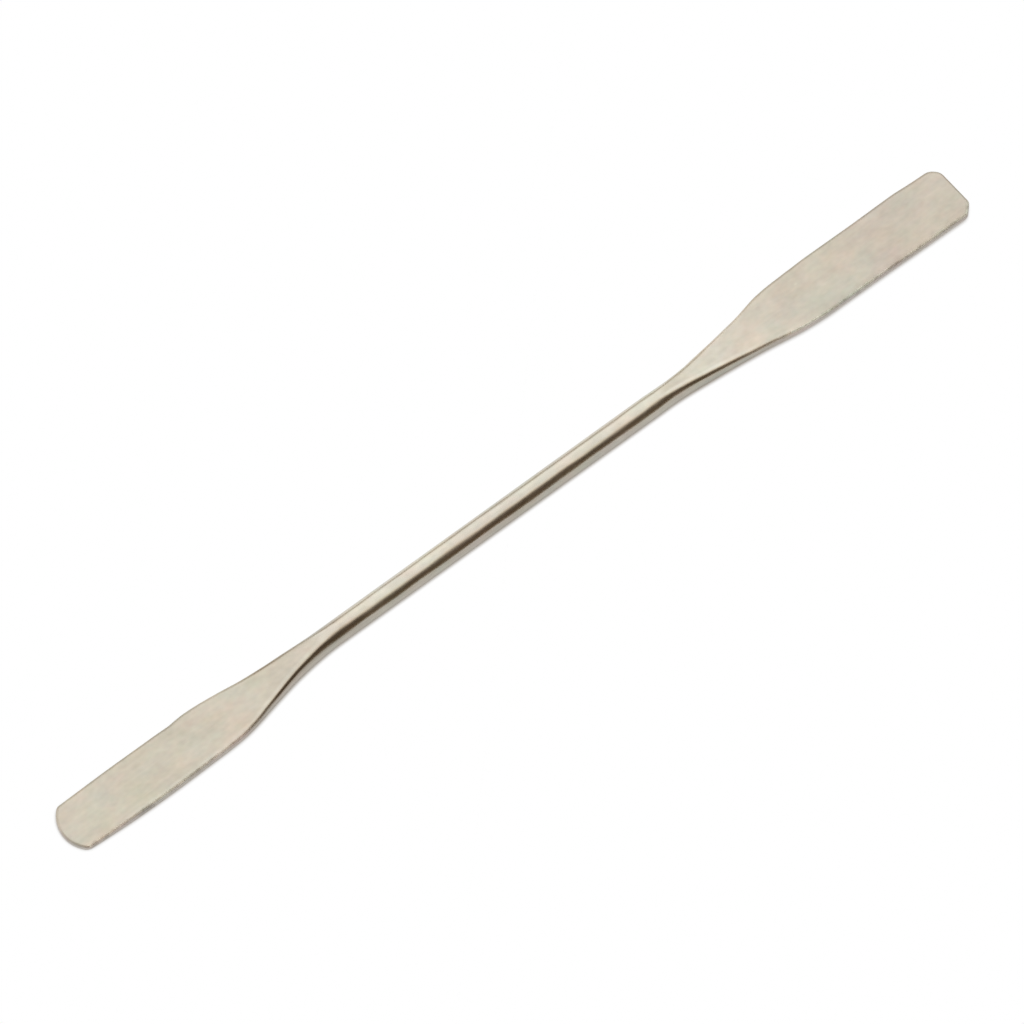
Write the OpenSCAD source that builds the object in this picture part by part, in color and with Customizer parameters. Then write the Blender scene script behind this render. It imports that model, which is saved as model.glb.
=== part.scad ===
// Double-ended lab spatula, made from one length of round nickel rod.
// The middle keeps the rod's own round section. Each end is squeezed flat between dies, so the
// metal spreads sideways as it gets thinner, and the blade's outline is then cut to shape.
// X runs along the tool, with the square end at +X and the round end at -X.
// Z = 0 is the bench, which the rod's underside touches.

/* [Whole tool] */
// Length from the top of the round end to the square end
total_len = 130; // [100:1:220]
// Diameter of the round rod in the middle
rod_d = 2.75; // [2:0.05:4]

/* [Round-ended blade] */
// Width of the blade
round_w = 6.7; // [5:0.1:7.6]
// Thickness of the blade
round_t = 0.9; // [0.5:0.05:1.4]
// Length of the full-width blade, with its rounded end
round_len = 19.5; // [12:0.5:30]
// Length of the taper between the rod and the blade
round_taper = 20.5; // [12:0.5:30]
// Radius of the rounded end
round_end_r = 4.1; // [4.1:0.1:8]
// Radius of the rounded end's corner on the +Y side
round_left_r = 0.4; // [0.3:0.05:1]
// Radius of its corner on the -Y side
round_right_r = 0.8; // [0.3:0.05:1]
// How far towards +Y the rounded end's middle lies from the blade's own
round_skew = -0.15; // [-0.25:0.05:0.25]
// How far towards +Y the blade lies from the rod's centre line
round_shift = -0.32; // [-0.8:0.02:0.8]
// How much further towards +Y its tip lies than its root
round_lean = -0.15; // [-0.5:0.05:0.5]
// Where the blade lies in height, from 0 on the rod's centre line to 1 level with its underside
round_set = 1; // [0:0.05:1]
// How far its thinning lags behind its spreading, 1 being not at all
round_lag = 1.25; // [0.8:0.05:1.6]

/* [Square-ended blade] */
// Width of the blade
square_w = 7.3; // [5:0.1:10]
// Thickness of the blade
square_t = 0.9; // [0.5:0.05:1.4]
// Length of the full-width blade, with its cut corners
square_len = 20; // [12:0.5:30]
// Length of the taper between the rod and the blade
square_taper = 24.5; // [12:0.5:30]
// Length cut off each side of the corner on the +Y side
square_left_cut = 1; // [0.9:0.05:1.5]
// Radius of the two turns of that cut
square_left_r = 1.5; // [0.4:0.1:1.5]
// Length cut off each side of the corner on the -Y side
square_right_cut = 1.25; // [0.9:0.05:1.5]
// Radius of the two turns of that cut
square_right_r = 0.6; // [0.4:0.1:1.5]
// How far towards +Y the blade lies from the rod's centre line
square_shift = 0.38; // [-0.8:0.02:0.8]
// How much further towards +Y its tip lies than its root
square_lean = -0.2; // [-0.5:0.05:0.5]
// Where the blade lies in height, from 0 on the rod's centre line to 1 level with its underside
square_set = 0.65; // [0:0.05:1]
// How far its thinning lags behind its spreading, 1 being not at all
square_lag = 0.9; // [0.8:0.05:1.6]

/* [Edges and tapers] */
// Radius of the edges between the flat faces and the side walls
edge_r = 0.15; // [0.1:0.05:0.2]
// Radius of the blades' side walls, seen along the tool, which is at most the rod's own
wall_r = 1; // [0.8:0.05:1.4]
// Share of each taper over which its outline is hollow before it turns full
hollow = 0.65; // [0.3:0.05:0.8]
// Share of each taper over which its middle moves to one side
moved_share = 0.87; // [0.6:0.01:1]

/* [Smoothness] */
// Sections along each taper
taper_steps = 26; // [12:1:40]
// Facets down the side wall
wall_steps = 10; // [6:2:16]
// Facets along each arc of a blade's outline
arc_steps = 5; // [3:1:12]

/* [Hidden] */

rod_r = rod_d / 2;
rod_facets = 96;
// The rod ends where the tapers start, at these distances either side of the middle
round_start = total_len / 2 - round_len - round_taper;
square_start = total_len / 2 - square_len - square_taper;
// A taper's root reaches into the rod by its radius, and lies just under its surface
root_r = 0.996 * rod_r;
// Half its thickness there, a hair less, so that its faces start as narrow flats
root_half_t = 0.999 * root_r;

// Share of a change made at share u of the way: a hollow curve that turns into a full one
function eased(u) =
    let (v = min(max(u, 0), 1))
    v < hollow ? v * v / hollow : 1 - (1 - v) * (1 - v) / (1 - hollow);

// How far to one side the middle of a pressed end lies at x
function aside(x, start, taper, shift, lean) =
    let (root = start + taper)
    shift * eased((x - start) / taper / moved_share)
    + lean * max(0, x - root) / (total_len / 2 - root);

// One section of a pressed end at share u of its taper, as its middle's height, half its width,
// half its thickness and the radius of its side walls. The metal only moves sideways, so a
// section gets thinner as about one over its width.
function section(u, w, t, set, lag) =
    let (half_w = root_r + (w / 2 - root_r) * eased(u),
         thinned = pow((1 / root_r - 1 / half_w) / (1 / root_r - 2 / w), lag))
    [rod_r + set * (t / 2 - rod_r) * thinned, half_w,
     root_half_t + (t / 2 - root_half_t) * thinned, root_r + (min(wall_r, root_r) - root_r) * thinned];

// One rib of the skin, from the edge of the top flat down the side wall to the edge of the
// bottom flat. p is the wall's widest point and out is the way that the wall faces. The wall is
// part of a circle, and a small rounded edge leads from it to each flat.
function rib(p, out, z, half_t, r) =
    let (barrel = r - edge_r,
         upright = half_t - edge_r,
         edge_from = asin(min(1, upright / barrel)),
         edge_inset = r - sqrt(max(0, barrel * barrel - upright * upright)))
    [for (i = [0 : wall_steps])
        let (q = 90 - 180 * i / wall_steps,
             on_edge = abs(q) > edge_from,
             inset = on_edge ? edge_inset - edge_r * cos(q) : r * (1 - cos(q)),
             rise = on_edge ? sign(q) * upright + edge_r * sin(q) : r * sin(q))
        [p.x - out.x * inset, p.y - out.y * inset, z + rise]];

// Points of an outline along an arc, each with the way that the outline faces there
function on_arc(centre, r, q) = [centre + r * [cos(q), sin(q)], [cos(q), sin(q)]];
function arc(centre, r, from, to, steps = arc_steps) =
    [for (i = [0 : steps]) on_arc(centre, r, from + (to - from) * i / steps)];

// One side of the outline of each tip, with that side at +Y, from its side wall to its middle.
// skew is how far the middle of the rounded end lies to that side.
function round_side(corner_r, skew) =
    let (reach_y = round_w / 2 - skew - corner_r,
         reach_x = sqrt(pow(round_end_r - corner_r, 2) - pow(reach_y, 2)),
         meet = atan2(reach_y, reach_x),
         centre_x = total_len / 2 - round_end_r)
    concat(arc([centre_x + reach_x, reach_y + skew], corner_r, 90, meet),
           arc([centre_x, skew], round_end_r, meet, 0, 2 * arc_steps));
function square_side(cut, corner_r) =
    let (tangent = corner_r * tan(22.5), half_w = square_w / 2, tip_x = total_len / 2)
    concat(arc([tip_x - cut - tangent, half_w - corner_r], corner_r, 90, 45),
           arc([tip_x - corner_r, half_w - cut - tangent], corner_r, 45, 0));

// A tip's whole outline from its two sides, without a second copy of any point
function mirrored(side) =
    [for (i = [len(side) - 1 : -1 : 0]) [for (pair = side[i]) [pair.x, -pair.y]]];
function without_repeats(points) =
    [for (i = [0 : len(points) - 1]) if (i == 0 || norm(points[i][0] - points[i - 1][0]) > 1e-6) points[i]];
function whole_tip(left, right) = without_repeats(concat(left, mirrored(right)));

// A flattened end of the rod that points along +X, its taper and its blade in one skin.
// start is where the rod ends, and tip is the outline of the blade's tip.
module pressed_end(start, taper, w, t, shift, lean, set, lag, tip) {
    stops = concat([-root_r / taper], [for (i = [0 : taper_steps]) i / taper_steps]);
    places = [for (u = stops) [start + taper * u, aside(start + taper * u, start, taper, shift, lean)]];
    sections = [for (u = stops) section(u, w, t, set, lag)];
    blade = len(stops) - 1;
    // The ribs go out along one side, round the tip and back along the other side
    ribs = concat(
        [for (i = [0 : blade]) let (s = sections[i]) rib(places[i] + [0, s[1]], [0, 1], s[0], s[2], s[3])],
        [for (o = tip) let (s = sections[blade])
            rib(o[0] + [0, aside(o[0].x, start, taper, shift, lean)], o[1], s[0], s[2], s[3])],
        [for (i = [blade : -1 : 0]) let (s = sections[i])
            rib(places[i] - [0, s[1]], [0, -1], s[0], s[2], s[3])]);
    last = len(ribs) - 1;
    points = wall_steps + 1;
    walls = [
        for (r = [0 : last - 1], i = [0 : wall_steps - 1])
            let (p = r * points + i, q = p + points)
            each [[p, p + 1, q + 1], [p, q + 1, q]]
    ];
    taper_flats = [
        for (r = [0 : blade - 1])
            let (near = r * points, far = (last - r) * points, low = wall_steps)
            each [[near, near + points, far - points, far],
                  [far + low, far - points + low, near + points + low, near + low]]
    ];
    blade_top = [for (r = [blade : last - blade]) r * points];
    blade_bottom = [for (r = [last - blade : -1 : blade]) r * points + wall_steps];
    root = concat([0], [for (i = [0 : wall_steps]) last * points + i], [for (i = [wall_steps : -1 : 1]) i]);
    polyhedron([for (r = ribs) each r], concat(walls, taper_flats, [blade_top, blade_bottom, root]));
}

module rod() {
    translate([-round_start, 0, rod_r])
        rotate([0, 90, 0])
            cylinder(h = round_start + square_start, r = rod_r, $fn = rod_facets);
}

module spatula() {
    color([0.80, 0.77, 0.70]) union() {
        rod();
        mirror([1, 0, 0])
            pressed_end(round_start, round_taper, round_w, round_t, round_shift, round_lean,
                        round_set, round_lag,
                        whole_tip(round_side(round_left_r, round_skew),
                                  round_side(round_right_r, -round_skew)));
        pressed_end(square_start, square_taper, square_w, square_t, square_shift, square_lean,
                    square_set, square_lag,
                    whole_tip(square_side(square_left_cut, square_left_r),
                              square_side(square_right_cut, square_right_r)));
    }
}

spatula();
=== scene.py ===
import math

import bpy
import numpy as np
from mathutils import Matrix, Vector


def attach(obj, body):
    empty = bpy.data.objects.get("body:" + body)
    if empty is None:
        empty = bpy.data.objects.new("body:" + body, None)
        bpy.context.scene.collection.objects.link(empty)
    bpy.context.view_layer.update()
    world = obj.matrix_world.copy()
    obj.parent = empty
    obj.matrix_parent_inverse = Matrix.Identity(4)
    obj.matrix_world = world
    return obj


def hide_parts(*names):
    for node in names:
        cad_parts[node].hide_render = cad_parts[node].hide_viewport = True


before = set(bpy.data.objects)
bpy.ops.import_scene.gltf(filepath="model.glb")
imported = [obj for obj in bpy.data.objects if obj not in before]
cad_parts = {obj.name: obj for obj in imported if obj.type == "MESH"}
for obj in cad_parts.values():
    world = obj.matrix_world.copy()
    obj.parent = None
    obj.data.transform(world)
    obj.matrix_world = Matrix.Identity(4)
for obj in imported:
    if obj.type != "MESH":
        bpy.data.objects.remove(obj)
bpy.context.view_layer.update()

MM = 0.001

# ---- Sizes of the tool in millimetres; its length and rod are the solid's ----
TOTAL_LEN = 130
ROD_D = 2.75
ROD_R = ROD_D / 2
WALL_R = 1              # radius of a blade's side walls, seen along the tool
FULLER_BY = 0.08        # how much is added to it half way along a taper
HOLLOW = 0.65           # share of each taper over which its sides are hollow
SHIFT_SHARE = 0.87      # share of each taper over which its middle moves sideways
FAR, NEAR, END = 1, -1, 0                       # a blade's sides, at +Y and -Y, and its tip
TOP_EDGE_R = {FAR: 0.4, NEAR: 0.42, END: 0.29}  # radius of the edges round the top face
TOP_EDGE_WIDER = {FAR: 1.6, NEAR: 1, END: 1.4}  # how many times wider than high they are
ROOT_EDGE_R = 0.95                              # their radius where the tapers start
LOW_EDGE_R = 0.1                                # radius of the edges round the underside
TIP_R = {FAR: 4.35, NEAR: 5}                    # radius of the round tip
TIP_OFF = 0.15                                  # how far its middle lies to the near side
TIP_CORNER_R = {FAR: 0.8, NEAR: 1}
TIP_THIN = 0.35         # how much thinner the round-ended blade is worn at its tip
TIP_NARROW = 0.5        # how much narrower, on the near side
TIP_SHORT = 0.06        # and how much shorter
TIP_FROM = 12           # over this length of the blade
SQUARE_CUT = {FAR: 1, NEAR: 1.25}               # length cut off each side of a corner
SQUARE_CORNER_R = {FAR: 1.5, NEAR: 0.6}         # radius of the two turns of that cut
CUT_TURN = 45                                   # degrees


class Blade:
    """One pressed end of the rod, with its taper.

    way is +1 or -1 along the tool, shift is how far to +Y it lies and lean how much further its
    tip does, seat is 0 on the rod's centre line and 1 level with its underside, and lag is how far
    its thinning lags behind its spreading, 1 being not at all.
    """

    def __init__(self, way, width, thick, length, taper, shift, lean, seat, lag, uneven):
        self.way, self.width, self.thick, self.length, self.taper = way, width, thick, length, taper
        self.shift, self.lean, self.seat, self.lag = shift, lean, seat, lag
        self.uneven = np.array(uneven)
        self.root = TOTAL_LEN / 2 - length
        self.start = self.root - taper

    def middle(self, x):
        """How far across the blade's middle lies at distance x from the rod's middle."""
        share = eased((x - self.start) / self.taper / SHIFT_SHARE)
        return self.shift * share + self.lean * max(0, (x - self.root) / self.length)

    def edge_y(self, x, y, side, half_w):
        """Where the edge at distance y from the blade's middle lies, with its small unevenness."""
        share = max(0, (y - TIP_OFF) / (half_w - TIP_OFF))
        column = 1 if side == FAR else 2
        return self.middle(x) + side * y + share * np.interp(x, self.uneven[:, 0], self.uneven[:, column])


# Places along each blade, with how far towards +Y its far and its near edge lie off a true line there
ROUND_UNEVEN = ((25, 0, 0), (28, -0.02, 0.02), (32, 0.04, 0.04), (35, 0, -0.03),
                (38, -0.02, -0.06), (41, 0.04, -0.05), (43, 0.09, 0.01), (45, 0.1, 0.04),
                (46, 0.05, 0.02), (47.2, -0.06, 0), (48.5, 0, -0.02), (51, 0.02, -0.05),
                (56, 0.06, -0.03), (61, 0.05, 0.02))
SQUARE_UNEVEN = ((20, 0, 0), (21, -0.02, 0.01), (23, -0.1, 0.1), (25, -0.12, 0.12),
                 (26.5, -0.1, 0.1), (27.5, -0.03, 0.07), (29, 0.02, 0.06), (33, 0.03, 0.04),
                 (35, -0.03, 0.05), (36.4, 0, 0.07), (38.3, 0.08, 0.04), (40, 0.03, -0.02),
                 (42, -0.06, -0.03), (44, -0.09, -0.04), (46, -0.02, -0.02), (53, 0, 0),
                 (56, 0.06, -0.03), (59, 0.11, -0.04), (61, 0, -0.04), (63, -0.07, -0.04))
ROUND_BLADE = Blade(way=-1, width=6.75, thick=0.95, length=19.5, taper=20.5, shift=-0.35,
                    lean=-0.15, seat=1, lag=1.05, uneven=ROUND_UNEVEN)
SQUARE_BLADE = Blade(way=1, width=7.36, thick=1, length=20, taper=24.5, shift=0.37,
                     lean=-0.2, seat=0.65, lag=0.7, uneven=SQUARE_UNEVEN)

# ---- How finely the metal is meshed ----
COLUMNS = 30            # strips across each flat face
WALL_STEPS = 28         # steps down each side wall
TAPER_STEP = 0.3        # distance between sections on the tapers, in millimetres
ROD_STEP = 0.8          # and on the rod and the blades
ARC_STEPS = 14          # steps along each arc of an outline
CUT_STEPS = 4           # steps along a cut corner's straight
FLAT_FROM = 0.15        # share of the thinning by which the flat faces are fully meshed as such
WELD_PLACES = 5         # decimals of a millimetre to which points of two sheets are one
QUARTER = math.pi / 2


def eased(u):
    """Share of a change made at share u of the way: a hollow curve that turns into a full one."""
    u = min(max(u, 0), 1)
    return u * u / HOLLOW if u < HOLLOW else 1 - (1 - u) * (1 - u) / (1 - HOLLOW)


def section(blade, x):
    """Middle, its height, half width, half thickness and thinning at distance x from the rod's middle."""
    u = (x - blade.start) / blade.taper
    half_w = ROD_R + (blade.width / 2 - ROD_R) * eased(u)
    thinned = ((1 / ROD_R - 1 / half_w) / (1 / ROD_R - 2 / blade.width)) ** blade.lag
    middle_z = ROD_R + blade.seat * (blade.thick / 2 - ROD_R) * thinned
    half_t = ROD_R + (blade.thick / 2 - ROD_R) * thinned
    return blade.middle(x), middle_z, half_w, half_t, thinned


def between_sides(values, out):
    """The value where an outline faces out, from those for a blade's two sides and its tip."""
    share = abs(out[1])
    return values[FAR if out[1] > 0 else NEAR] * share + values[END] * (1 - share)


def rib_points(edge, out, middle_z, half_t, thinned, angles):
    """Points down a side wall, at the given angles above and below its widest point, edge.

    The wall is part of a circle that faces out at edge, and a rounded edge leads from it to each
    face. Half way through the thinning, all of FULLER_BY is added to its radius.
    """
    wall_r = ROD_R + (WALL_R - ROD_R) * thinned ** 2 + 4 * FULLER_BY * thinned * (1 - thinned)
    top_r = between_sides(TOP_EDGE_R, out)
    top_r = top_r + (ROOT_EDGE_R - top_r) * (1 - thinned)
    edge_r = np.where(angles > 0, top_r, LOW_EDGE_R)
    wider = np.where(angles > 0, between_sides(TOP_EDGE_WIDER, out), 1)
    barrel = wall_r - edge_r
    upright = half_t - edge_r
    rise = np.abs(angles)
    edge_from = np.arcsin(np.minimum(1, upright / barrel))
    on_edge = rise > edge_from
    barrel_inset = wall_r * (1 - np.cos(np.minimum(rise, edge_from)))
    edge_inset = edge_r * wider * (np.cos(edge_from) - np.cos(rise))
    inset = barrel_inset + np.where(on_edge, edge_inset, 0)
    height = np.where(on_edge, upright + edge_r * np.sin(rise), wall_r * np.sin(rise))
    return np.stack([edge[0] - out[0] * inset, edge[1] - out[1] * inset,
                     middle_z + np.sign(angles) * height], axis=1)


def evenly(points, count):
    """count + 1 points spaced evenly along a line of points."""
    gaps = np.linalg.norm(np.diff(points, axis=0), axis=1)
    along = np.concatenate([[0], np.cumsum(gaps)])
    wanted = np.linspace(0, along[-1], count + 1)
    return np.stack([np.interp(wanted, along, points[:, k]) for k in range(3)], axis=1)


def station(edges, outs, middle_z, half_t, thinned):
    """One row of the skin: its two faces from +Y to -Y, then its two side walls from the top down."""
    roundness = max(0, 1 - thinned / FLAT_FROM)
    reach = QUARTER * (1 - roundness * COLUMNS / (COLUMNS + WALL_STEPS))
    down = np.linspace(reach, -reach, WALL_STEPS + 1)
    over = np.linspace(reach, QUARTER, ARC_STEPS)
    faces = []
    for sign in (1, -1):
        sides = [rib_points(edges[k], outs[k], middle_z, half_t, thinned, sign * over) for k in (0, 1)]
        faces.append(evenly(np.concatenate([sides[0], sides[1][::-1]]), COLUMNS))
    walls = [rib_points(edges[k], outs[k], middle_z, half_t, thinned, down) for k in (0, 1)]
    return faces + walls


def arc(centre, r, start, end, steps):
    """Points of an outline along an arc from start to end, in degrees, with the way it faces at each."""
    turns = np.radians(np.linspace(start, end, steps + 1))
    return [((centre[0] + r * math.cos(q), centre[1] + r * math.sin(q)), (math.cos(q), math.sin(q)))
            for q in turns]


def round_half(tip_x, half_w, side):
    """One side of the outline of the round tip, from the blade's side to the tip's middle."""
    corner_r = TIP_CORNER_R[side]
    reach_y = half_w + side * TIP_OFF - corner_r
    reach_x = math.sqrt((TIP_R[side] - corner_r) ** 2 - reach_y ** 2)
    meet = math.degrees(math.atan2(reach_y, reach_x))
    off = -side * TIP_OFF
    return (arc((tip_x - TIP_R[side] + reach_x, reach_y + off), corner_r, 90, meet, ARC_STEPS)
            + arc((tip_x - TIP_R[side], off), TIP_R[side], meet, 0, 2 * ARC_STEPS)[1:])


def square_half(tip_x, half_w, side):
    """One side of the outline of the square tip, from the blade's side to its straight front edge."""
    cut, r = SQUARE_CUT[side], SQUARE_CORNER_R[side]
    tangent = r * math.tan(math.radians(CUT_TURN / 2))
    first = arc((tip_x - cut - tangent, half_w - r), r, 90, CUT_TURN, ARC_STEPS)
    last = arc((tip_x - r, half_w - cut - tangent), r, CUT_TURN, 0, ARC_STEPS)
    (x0, y0), out = first[-1]
    (x1, y1), _ = last[0]
    straight = [((x0 + (x1 - x0) * k / CUT_STEPS, y0 + (y1 - y0) * k / CUT_STEPS), out)
                for k in range(1, CUT_STEPS)]
    return first + straight + last


def blade_stations(blade, half_outline):
    """Rows of the skin from the rod's middle out to the tip, as if the blade pointed along +X.

    Each comes with its thinning and its near edge's place across.
    """
    tip_x = TOTAL_LEN / 2
    rows = []
    rod_xs = np.arange(0, blade.start - ROD_STEP / 2, ROD_STEP)
    taper_xs = np.linspace(blade.start, blade.start + blade.taper, round(blade.taper / TAPER_STEP) + 1)
    far_side, near_side = [half_outline(tip_x, blade.width / 2, side) for side in (FAR, NEAR)]
    flat_end = min(far_side[0][0][0], near_side[0][0][0])
    flat_xs = np.linspace(taper_xs[-1], flat_end, round((flat_end - taper_xs[-1]) / ROD_STEP) + 1)[1:-1]
    for x in [*rod_xs, *taper_xs, *flat_xs]:
        shift, middle_z, half_w, half_t, thinned = section(blade, x)
        if x > blade.start:
            edges = [(x, blade.edge_y(x, half_w, side, half_w)) for side in (FAR, NEAR)]
        else:
            edges = [(x, shift + half_w), (x, shift - half_w)]
        rows.append((station(edges, [(0, 1), (0, -1)], middle_z, half_t, thinned), thinned, edges[1][1]))
    _, middle_z, half_w, half_t, thinned = section(blade, tip_x)
    for pair in zip(far_side, near_side):
        edges = [(x, blade.edge_y(x, y, side, half_w)) for ((x, y), _), side in zip(pair, (FAR, NEAR))]
        outs = [(x, side * y) for (_, (x, y)), side in zip(pair, (FAR, NEAR))]
        rows.append((station(edges, outs, middle_z, half_t, 1), 1, edges[1][1]))
    return rows


class Skin:
    """Collects sheets of quads that share their seams, and makes one closed mesh of them."""

    def __init__(self):
        self.points, self.faces, self.index, self.pressed, self.border = [], [], {}, [], []

    def vertex(self, p, pressed, border):
        key = tuple(round(c, WELD_PLACES) for c in p)
        if key not in self.index:
            self.index[key] = len(self.points)
            self.points.append(key)
            self.pressed.append(pressed)
            self.border.append(border)
        return self.index[key]

    def sheet(self, rows, presses, near_sides, flipped):
        """A grid of points, whose faces look the other way where flipped."""
        grid = [[self.vertex(p, pressed, p[1] - near_y) for p in row]
                for row, pressed, near_y in zip(rows, presses, near_sides)]
        for near, far in zip(grid, grid[1:]):
            for a, b, c, d in zip(near, near[1:], far[1:], far):
                corners = list(dict.fromkeys((a, b, c, d)))
                if len(corners) > 2:
                    self.faces.append(corners[::-1] if flipped else corners)

    def piece(self, name):
        mesh = bpy.data.meshes.new(name)
        mesh.from_pydata([tuple(c * MM for c in p) for p in self.points], [], self.faces)
        for title, values in (("pressed", self.pressed), ("border", self.border)):
            mesh.attributes.new(title, "FLOAT", "POINT").data.foreach_set("value", values)
        mesh.shade_smooth()
        mesh.update()
        made = bpy.data.objects.new(name, mesh)
        bpy.context.collection.objects.link(made)
        return made


def worn_tip(points, blade):
    """The points of a row, on the round-ended blade worn thinner and narrower towards its tip."""
    if blade is SQUARE_BLADE:
        return points
    share = np.clip((points[:, 0] - TOTAL_LEN / 2) / TIP_FROM + 1, 0, 1) ** 2
    height = points[:, 2] / blade.thick
    nearness = np.clip((blade.middle(TOTAL_LEN / 2) - points[:, 1]) / blade.width * 2, 0, 1)
    return points + np.stack([-TIP_SHORT * share, TIP_NARROW * share * nearness,
                              -TIP_THIN * share * height], axis=1)


SHEETS_FLIPPED = (False, True, True, False)     # a row's top, underside, far wall and near wall


def metal_skin():
    """The whole tool as one closed skin that faces outward."""
    skin = Skin()
    for blade, half_outline in ((ROUND_BLADE, round_half), (SQUARE_BLADE, square_half)):
        rows = blade_stations(blade, half_outline)
        mirrored = blade.way < 0
        presses = [pressed for _, pressed, _ in rows]
        sides = [near_y for _, _, near_y in rows]
        for k, flipped in enumerate(SHEETS_FLIPPED):
            sheet = [worn_tip(row[k], blade) * (blade.way, 1, 1) for row, _, _ in rows]
            skin.sheet(sheet, presses, sides, flipped != mirrored)
        # The straight front edge of the square tip is closed by a wall of its own
        if half_outline is square_half:
            _, _, far_wall, near_wall = rows[-1][0]
            front = [far_wall + (near_wall - far_wall) * share
                     for share in np.linspace(0, 1, COLUMNS + 1)]
            skin.sheet(front, [1] * len(front), [sides[-1]] * len(front), True)
    return skin.piece("spatula_metal")


tool = metal_skin()
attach(tool, "root")
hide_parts("spatula")


# ---- Camera: seen from above the tool's near side, through a long lens ----
TOOL_TURN = math.radians(39.66)     # how far the tool lies turned under the camera
CAMERA_RISE = math.radians(60)
CAMERA_FAR = 4
CAMERA_CLIP = (0.05, 20)
SENSOR = 36 * MM
FIELD = 114.42 * MM                 # width of the view at the tool
IMAGE = 1024                        # the same in pixels
MIDDLE_AT = (510.88, 506.76)        # the pixel at which the middle of the rod's centre line lies

right = Vector((math.cos(TOOL_TURN), -math.sin(TOOL_TURN), 0))
ahead = Vector((math.sin(TOOL_TURN), math.cos(TOOL_TURN), 0))
back = Vector((0, 0, 1)) * math.sin(CAMERA_RISE) - ahead * math.cos(CAMERA_RISE)
view_up = back.cross(right)
pixel = FIELD / IMAGE
target = (Vector((0, 0, ROD_R * MM))
          - right * (MIDDLE_AT[0] - IMAGE / 2) * pixel
          + view_up * (MIDDLE_AT[1] - IMAGE / 2) * pixel)

camera_data = bpy.data.cameras.new("camera")
camera_data.sensor_width = SENSOR / MM
camera_data.lens = SENSOR / FIELD * CAMERA_FAR / MM
camera_data.clip_start, camera_data.clip_end = CAMERA_CLIP
camera = bpy.data.objects.new("camera", camera_data)
camera.location = target + back * CAMERA_FAR
camera.rotation_mode = "QUATERNION"
camera.rotation_quaternion = back.to_track_quat("Z", "Y")
bpy.context.collection.objects.link(camera)
bpy.context.scene.camera = camera


# ---- Shader arithmetic ----
class Flow:
    """One output of a shader node; sums of flows and numbers add the Math nodes they need."""

    def __init__(self, tree, socket):
        self.tree, self.socket = tree, socket

    def worked(self, operation, *values):
        return shader_node(self.tree, "ShaderNodeMath", {"operation": operation}, dict(enumerate(values)))

    def __add__(self, other):
        return self.worked("ADD", self, other)

    def __radd__(self, other):
        return self.worked("ADD", other, self)

    def __sub__(self, other):
        return self.worked("SUBTRACT", self, other)

    def __rsub__(self, other):
        return self.worked("SUBTRACT", other, self)

    def __mul__(self, other):
        return self.worked("MULTIPLY", self, other)

    def __rmul__(self, other):
        return self.worked("MULTIPLY", other, self)

    def __truediv__(self, other):
        return self.worked("DIVIDE", self, other)

    def __pow__(self, other):
        return self.worked("POWER", self, other)

    def ramped(self, low, high):
        """0 below low, 1 above high and a smooth step between them."""
        return shader_node(self.tree, "ShaderNodeMapRange", {"interpolation_type": "SMOOTHSTEP"},
                           {"Value": self, "From Min": low, "From Max": high})

    def within(self, low, full, falling, gone):
        """0 below low and above gone, and 1 from full to falling."""
        return self.ramped(low, full) * (1 - self.ramped(falling, gone))

    def beside(self, output):
        """Another output of the same node."""
        return Flow(self.tree, self.socket.node.outputs[output])


def shader_node(tree, kind, settings, inputs, output=0):
    """Adds a node: its settings first, then the values or links of its sockets."""
    made = tree.nodes.new(kind)
    for name, value in settings.items():
        setattr(made, name, value)
    for name, value in inputs.items():
        socket = made.inputs[name]
        if isinstance(value, Flow):
            tree.links.new(value.socket, socket)
        else:
            socket.default_value = value
    return Flow(tree, made.outputs[output]) if made.outputs else None


def empty_tree(owner):
    owner.use_nodes = True
    owner.node_tree.nodes.clear()
    return owner.node_tree


# ---- Nickel, drawn lengthwise ----
def mm(*sizes):
    return [size * MM for size in sizes]


NICKEL = (0.68, 0.634, 0.537, 1)
PRESSED_NICKEL = (0.612, 0.56, 0.464, 1)    # the faces that the dies have dulled
WALL_NICKEL = (0.68, 0.637, 0.592, 1)       # the blades' side walls
ROD_SIDE_SHADE = (0.45, 0.417, 0.358, 1)          # the rod's sides, painted darker as shade

# Tints that the colours above are multiplied by
SQUARE_DULL = (0.958, 0.974, 0.977, 1)      # the square-ended blade
SQUARE_HUE = (1.0125, 0.971, 0.987, 1)      # and again its outer half
NEAR_EDGE_LIGHT = (1.47, 1.49, 1.58, 1)           # painted light on the near top edge of the round-ended blade, lifting its dark reflection
SQUARE_NEAR_EDGE_LIGHT = (1.42, 1.52, 1.58, 1)    # and on that of the square-ended one
FAR_RIM_SHADE = (0.85, 0.84, 0.83, 1)                 # painted shade on the far top edges
LEFT_RIM_SHADE = (0.98, 0.97, 0.95, 1)            # a little of that painted shade on the far top edge of the round-ended blade's taper
RIGHT_RIM_HIGHLIGHT = (1.12, 1.15, 1.2, 1)            # and a painted highlight instead on the square-ended one's
TIP_RIM_SHADE = (0.84, 0.82, 0.81, 1)             # painted shade on the near half of the round tip's edge
FLANK_SHADE = (0.8, 0.765, 0.735, 1)              # painted shade on the sides of the round-ended blade's taper
RIGHT_FLANK_LIGHT = (1.08, 1.04, 1.01, 1)         # painted light on those of the square-ended one's
DEEP_FLANK_SHADE = (0.76, 0.74, 0.72, 1)          # more painted shade where the first of them leaves the rod
STRIP_HIGHLIGHT = (1.12, 1.125, 1.14, 1)            # a painted highlight on a strip of face beside the near edge
ROSY = (1.055, 0.976, 0.982, 1)             # patches of tarnish
LEAFY = (0.945, 1.024, 1.018, 1)
GOLDEN = (1.005, 1.005, 0.95, 1)
COOL = (0.995, 0.995, 1.05, 1)

DRAWN_SATIN = 0.28                          # roughness of the rod
PRESSED_SATIN = 0.42                        # of the pressed faces
WALL_SATIN = 0.7                            # and of the blades' walls
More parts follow.
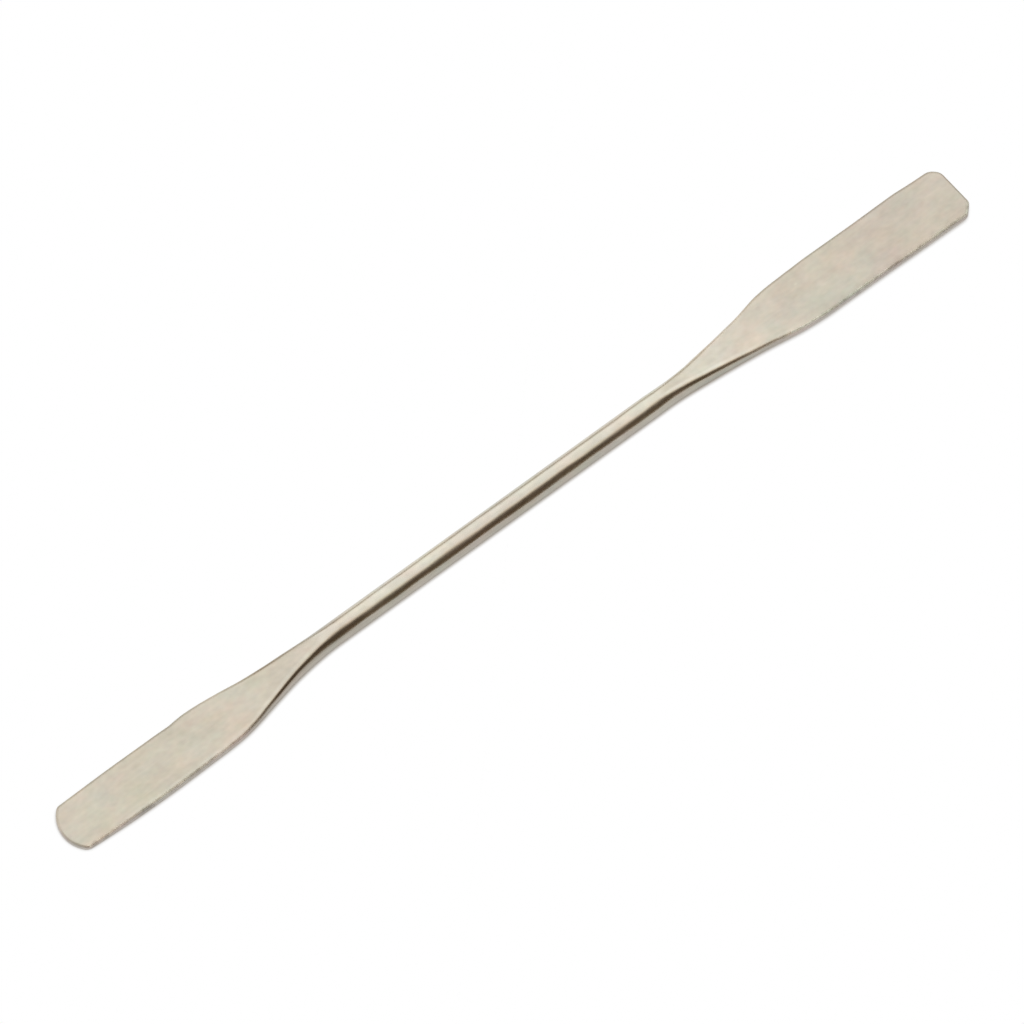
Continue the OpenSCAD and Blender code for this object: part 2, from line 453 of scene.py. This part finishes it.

# Where the finish, and the painted light and shade, change along the tool: from and to, or in from and to
# and out from and to
LEFT_ROOT = mm(-26, -25)
LEFT_PRESSED = mm(-29, -27)
RIGHT_PRESSED = mm(21.3, 22.8)
SQUARE_END = mm(34, 45)
SQUARE_OUTER = mm(44, 53)
ROUND_TIP = mm(-61, -57)
TO_THE_RIGHT = mm(0, 10)
LEFT_TAPER = mm(-46, -40, -30, -26)
LEFT_DEEP = mm(-36.8, -35, -27, -22)
RIGHT_TAPER = mm(22, 27, 33, 40)
HIGHLIGHT_STRETCH = mm(18, 24, 30, 36)
# and how much more the dies have dulled the faces past each of these
DULLING = ((mm(23.5, 27), -0.75), (mm(30.5, 32.5), 0.45), (mm(36, 42), 0.3))

# How level the metal is, from 0 on a wall to 1 on a face, as from and to
FACES = (0.93, 0.995)
FACES_BY_ROOT = (0.15, 0.08)        # how much lower that is on the rod beside the left taper
WALLS = (0.35, 0.75)
EDGES = (0.4, 0.65)
FLANKS = (0.1, 0.5)
DEEP_FLANKS = (0.3, 0.6)
TOP_EDGES = (0, 0.3, 0.88, 0.98)
# How far it faces the tool's far side, the back of the bench or the square end, as from and to
FARWARD = (-0.35, -0.1)
AWAY = (0, 0.3)
OFF_ROUND_TIP = (-0.4, -0.1)
ROUND_TIP_FACE = (-0.4, -0.15)
TIP_FAR_HALF = (0.05, 0.3)          # how far round to the far side, on the round tip

# Millimetres from the near edge, as from and to
KEPT_BAND = (0.4, 0.85)
HIGHLIGHT_BAND = (0.4, 0.75)
TAPER_BAND_IN = 0.55                # how much further in they are on the tapers
KEPT_BRIGHT = 0.6                   # how much of its brightness the metal keeps in the first
BLADE_POWER = 8                     # how late on the tapers the blades' walls start
SATIN_POWER = 4                     # and their roughness
FLANK_PEAK = 6.75                   # brings thinned * thinned * (1 - thinned) up to 1
EDGE_PATCHES = 4                    # how patchily the painted light on the near edges falls

# Unevenness: waves to the millimetre along and across, detail, roughness and pattern
GRAIN = (0.06, 11, 2, 0.6, 0)
STREAKS = (0.12, 2.2, 3, 0.6, 0)
WAVES = (0.14, 0.5, 1, 0.6, 0)
MOTTLE = (0.17, 0.28, 3, 1, 1)
BLUSH = (0.18, 0.3, 3, 0.8, 2)
WARMTH = (0.12, 0.2, 4, 0.9, 3)
CLOUD = (0.04, 0.08, 1, 0.5, 4)
# and how much of them goes into the metal's lightness, roughness and height in millimetres
MOTTLE_SHADE, CLOUD_SHADE, STREAK_SHADE, GRAIN_SHADE = 0.55, 0.05, 0.1, 0.06
GRAIN_SATIN, MOTTLE_SATIN = 0.06, 0.15
WAVE_HEIGHT, GRAIN_HEIGHT = 0.12, 0.0012
TARNISH_SPREAD = 2

# Small marks in the metal: x and y, length and width in millimetres, and how much lighter they are
MARKS = ((43, 1.87, 0.6, 0.45, 0.06), (28.8, -0.07, 2.4, 0.9, -0.05), (-55.7, -3.75, 3.2, 1, -0.2),
         (-62.9, -3.4, 1.2, 0.8, -0.2), (-61.3, -3.6, 1.2, 0.8, -0.12), (47.8, -3.4, 1.2, 0.8, -0.15),
         (-54.6, -2.35, 2.6, 0.25, 0.05), (37.6, 2.2, 0.9, 0.4, -0.04))
MARK_EDGE = (0.3, 1)                # shares of a mark's half size over which it fades


def blend(tree, factor, first, second, way="MIX"):
    """Two colours mixed, or worked together by way, as far as factor says."""
    return shader_node(tree, "ShaderNodeMix", {"data_type": "RGBA", "blend_type": way},
                       {"Factor": factor, 6: first, 7: second}, 2)


def tinted(tree, factor, colour, tint):
    return blend(tree, factor, colour, tint, "MULTIPLY")


def clouds(tree, place, along, across, detail, rough, pattern):
    """Soft noise about 0, with its waves to the millimetre along and across the tool."""
    scaled = shader_node(tree, "ShaderNodeVectorMath", {"operation": "MULTIPLY"},
                         {0: place, 1: [per / MM for per in (along, across, across)]})
    return shader_node(tree, "ShaderNodeTexNoise", {"noise_dimensions": "4D"}, {
        "Vector": scaled, "W": pattern, "Scale": 1, "Detail": detail, "Roughness": rough}) - 0.5


def spot(tree, place, x, y, length, width):
    """1 in a small oval mark and 0 outside it, with its middle and its sizes in millimetres."""
    scaled = shader_node(tree, "ShaderNodeVectorMath", {"operation": "MULTIPLY_ADD"}, {
        0: place, 1: (2 / (length * MM), 2 / (width * MM), 0), 2: (-2 * x / length, -2 * y / width, 0)})
    off_middle = shader_node(tree, "ShaderNodeVectorMath", {"operation": "LENGTH"}, {0: scaled}, "Value")
    return 1 - off_middle.ramped(*MARK_EDGE)


def drawn_nickel():
    made = bpy.data.materials.new("drawn_nickel")
    tree = empty_tree(made)

    # Where a point lies on the tool, and which way it faces
    place = shader_node(tree, "ShaderNodeTexCoord", {}, {}, "Object")
    along = shader_node(tree, "ShaderNodeSeparateXYZ", {}, {0: place}, "X")
    pressed = shader_node(tree, "ShaderNodeAttribute", {"attribute_name": "pressed"}, {}, "Fac")
    border = shader_node(tree, "ShaderNodeAttribute", {"attribute_name": "border"}, {}, "Fac")
    facing = shader_node(tree, "ShaderNodeNewGeometry", {}, {}, "Normal")
    lengthwise = shader_node(tree, "ShaderNodeSeparateXYZ", {}, {0: facing}, "X")
    farward, upward = lengthwise.beside("Y"), lengthwise.beside("Z")
    level = upward.worked("ABSOLUTE", upward)
    turned_away = shader_node(tree, "ShaderNodeVectorMath", {"operation": "DOT_PRODUCT"},
                              {0: facing, 1: ahead}, "Value")
    grain, streaks, waves, mottle, blush, warmth, cloud = [
        clouds(tree, place, *layer) for layer in (GRAIN, STREAKS, WAVES, MOTTLE, BLUSH, WARMTH, CLOUD)]

    # The faces, which the dies have dulled apart from a strip by the near edge
    by_root = (1 - along.ramped(*LEFT_ROOT)) * (1 - pressed)
    flat = level.ramped(*[limit - by_root * lower for limit, lower in zip(FACES, FACES_BY_ROOT)])
    square_end = along.ramped(*SQUARE_END)
    under_dies = along.ramped(*RIGHT_PRESSED) + 1 - along.ramped(*LEFT_PRESSED)
    dulling = 1
    for stretch, change in DULLING:
        dulling = dulling + along.ramped(*stretch) * change
    from_edge = border - (1 - pressed) * TAPER_BAND_IN
    kept_bright = ((1 - from_edge.ramped(*KEPT_BAND)) * (1 - square_end) * KEPT_BRIGHT
                   * along.ramped(*ROUND_TIP))
    dulled = under_dies * flat * dulling * (1 - kept_bright)
    colour = blend(tree, dulled, NICKEL, PRESSED_NICKEL)
    colour = tinted(tree, square_end, colour, SQUARE_DULL)
    colour = tinted(tree, along.ramped(*SQUARE_OUTER), colour, SQUARE_HUE)

    # The walls, with painted shade on the rod's sides, and painted light on the near top edges
    blade_side = pressed ** BLADE_POWER
    # the rod's sides get painted shade, the blades' walls their own nickel
    colour = blend(tree, 1 - level.ramped(*WALLS), colour, blend(tree, blade_side, ROD_SIDE_SHADE, WALL_NICKEL))
    near_edge_light = (level.ramped(*EDGES) * (1 - flat) * (1 - farward.ramped(*FARWARD)) * blade_side
            * lengthwise.ramped(*OFF_ROUND_TIP) * (1 + mottle * EDGE_PATCHES))
    colour = tinted(tree, near_edge_light, colour, blend(tree, square_end, NEAR_EDGE_LIGHT, SQUARE_NEAR_EDGE_LIGHT))
    # Painted shade on the sides of the round-ended blade's taper, painted light on the square-ended one's
    flank_shade = pressed ** 2 * (1 - pressed) * FLANK_PEAK * (1 - flat) * level.ramped(*FLANKS)
    colour = tinted(tree, flank_shade, colour, blend(tree, along.ramped(*TO_THE_RIGHT), FLANK_SHADE, RIGHT_FLANK_LIGHT))
    deep_shade = along.within(*LEFT_DEEP) * (1 - flat) * level.ramped(*DEEP_FLANKS)
    colour = tinted(tree, deep_shade, colour, DEEP_FLANK_SHADE)

    # Painted shade on the far edges and the round tip's near edge, and painted highlights on the right
    # taper's far edge and on a strip beside the near edge
    top_edge = upward.within(*TOP_EDGES) * pressed
    rim_shades = blend(tree, along.within(*LEFT_TAPER), FAR_RIM_SHADE, LEFT_RIM_SHADE)
    rim_shades = blend(tree, along.within(*RIGHT_TAPER), rim_shades, RIGHT_RIM_HIGHLIGHT)
    colour = tinted(tree, top_edge * turned_away.ramped(*AWAY), colour, rim_shades)
    highlight_strip = (1 - from_edge.ramped(*HIGHLIGHT_BAND)) * flat * along.within(*HIGHLIGHT_STRETCH)
    colour = tinted(tree, highlight_strip, colour, STRIP_HIGHLIGHT)
    tip_turn = farward / (0 - lengthwise)
    near_tip_shade = top_edge * (1 - lengthwise.ramped(*ROUND_TIP_FACE)) * (1 - tip_turn.ramped(*TIP_FAR_HALF))
    colour = tinted(tree, near_tip_shade, colour, TIP_RIM_SHADE)

    # Tarnish, mottling and marks over all of it
    colour = tinted(tree, 1, colour, blend(tree, blush * TARNISH_SPREAD + 0.5, ROSY, LEAFY))
    colour = tinted(tree, 1, colour, blend(tree, warmth * TARNISH_SPREAD + 0.5, GOLDEN, COOL))
    shade = (1 + mottle * MOTTLE_SHADE + cloud * CLOUD_SHADE + streaks * STREAK_SHADE
             + grain * GRAIN_SHADE)
    for x, y, length, width, lighter in MARKS:
        shade = shade + spot(tree, place, x, y, length, width) * lighter
    shaded = shader_node(tree, "ShaderNodeVectorMath", {"operation": "SCALE"},
                         {0: colour, "Scale": shade})

    satin = (DRAWN_SATIN + dulled * (PRESSED_SATIN - DRAWN_SATIN)
             + pressed ** SATIN_POWER * (1 - flat) * (WALL_SATIN - DRAWN_SATIN)
             + grain * GRAIN_SATIN + mottle * MOTTLE_SATIN)
    bumps = shader_node(tree, "ShaderNodeBump", {}, {
        "Strength": 1, "Distance": MM, "Height": waves * WAVE_HEIGHT + grain * GRAIN_HEIGHT})
    metal = shader_node(tree, "ShaderNodeBsdfPrincipled", {}, {
        "Base Color": shaded, "Metallic": 1, "Roughness": satin, "Normal": bumps})
    shader_node(tree, "ShaderNodeOutputMaterial", {}, {"Surface": metal})
    return made


tool.data.materials.append(drawn_nickel())


# ---- Floor and light ----
SHADOW_REACH = 0.66 * MM                            # how far the shadow on the floor reaches
MIRRORED_REACH = 12 * MM                            # and its reflection in the metal
SHADOW_WAY = Vector((-0.6, 0.6, 1)).normalized()    # the way that the light comes from
SHADOW_EDGE = (0.1, 0.85)                           # how open to it the floor is, dark and clear
SHADOW = (0.16, 0.11, 0.05, 1)
WHITE = (1, 1, 1, 1)
BOARD = (0.8, 0.8, 0.8, 1)


def pale_floor():
    """A white board, as white to the eye and in the metal, with the shadow beside the tool."""
    made = bpy.data.materials.new("pale_floor")
    tree = empty_tree(made)
    eye = shader_node(tree, "ShaderNodeLightPath", {}, {}, "Is Camera Ray")
    mirror, glass = eye.beside("Is Glossy Ray"), eye.beside("Is Transmission Ray")
    openness = shader_node(tree, "ShaderNodeAmbientOcclusion", {}, {
        "Distance": SHADOW_REACH + mirror * (MIRRORED_REACH - SHADOW_REACH), "Normal": SHADOW_WAY}, "AO")
    bright = shader_node(tree, "ShaderNodeEmission", {}, {
        "Color": blend(tree, openness.ramped(*SHADOW_EDGE), SHADOW, WHITE), "Strength": 1})
    board = shader_node(tree, "ShaderNodeBsdfDiffuse", {}, {"Color": BOARD})
    both = shader_node(tree, "ShaderNodeMixShader", {}, {0: eye + mirror + glass, 1: board, 2: bright})
    shader_node(tree, "ShaderNodeOutputMaterial", {}, {"Surface": both})
    return made


FLOOR_SIDE = 3          # metres
floor_mesh = bpy.data.meshes.new("floor")
half = FLOOR_SIDE / 2
floor_corners = [(-half, -half, 0), (half, -half, 0), (half, half, 0), (-half, half, 0)]
floor_mesh.from_pydata(floor_corners, [], [(0, 1, 2, 3)])
floor = bpy.data.objects.new("floor", floor_mesh)
floor.data.materials.append(pale_floor())
bpy.context.collection.objects.link(floor)


def degrees(*leans):
    return [math.radians(lean) for lean in leans]


DARK_ROOM = (0.085, 0.06, 0.04, 1)
ROOM_SKIRT = (0.24, 0.175, 0.105, 1)        # the foot of the dark room's wall
WARM_EDGE = (1, 0.9, 0.78, 1)               # the light just above that room
FAR_WALL = (0.42, 0.37, 0.31, 1)
OVERHEAD = 1.19                             # strength of the light at its far side
DIMMER_BY = 0.14                            # how much less it is overhead
# How far from straight up to the near right side each of these starts and is full
FAR_WALL_ENDS = degrees(-74, -62)
DIMMING = degrees(-60, 0)
WARMING = degrees(5, 24)
DARKENING = degrees(14, 40.5)
SKIRT_STARTS = degrees(62, 95)


def studio_light():
    """Soft white light from above and behind, and a dark room on the near right side."""
    world = bpy.data.worlds.new("studio")
    tree = empty_tree(world)
    way = shader_node(tree, "ShaderNodeTexCoord", {}, {}, "Generated")
    near_right = (right - ahead).normalized()
    side = shader_node(tree, "ShaderNodeVectorMath", {"operation": "DOT_PRODUCT"},
                       {0: way, 1: near_right}, "Value")
    height = shader_node(tree, "ShaderNodeSeparateXYZ", {}, {0: way}, "Z")
    lean = side.worked("ARCTAN2", side, height)
    lit = blend(tree, lean.ramped(*WARMING), WHITE, WARM_EDGE)
    dark = blend(tree, lean.ramped(*SKIRT_STARTS), DARK_ROOM, ROOM_SKIRT)
    room = blend(tree, lean.ramped(*DARKENING), lit, dark)
    room = blend(tree, lean.ramped(*FAR_WALL_ENDS), FAR_WALL, room)
    light = shader_node(tree, "ShaderNodeBackground", {}, {
        "Color": room, "Strength": OVERHEAD - lean.ramped(*DIMMING) * DIMMER_BY})
    shader_node(tree, "ShaderNodeOutputWorld", {}, {"Surface": light})
    bpy.context.scene.world = world


studio_light()
bpy.context.scene.view_settings.view_transform = "Standard"
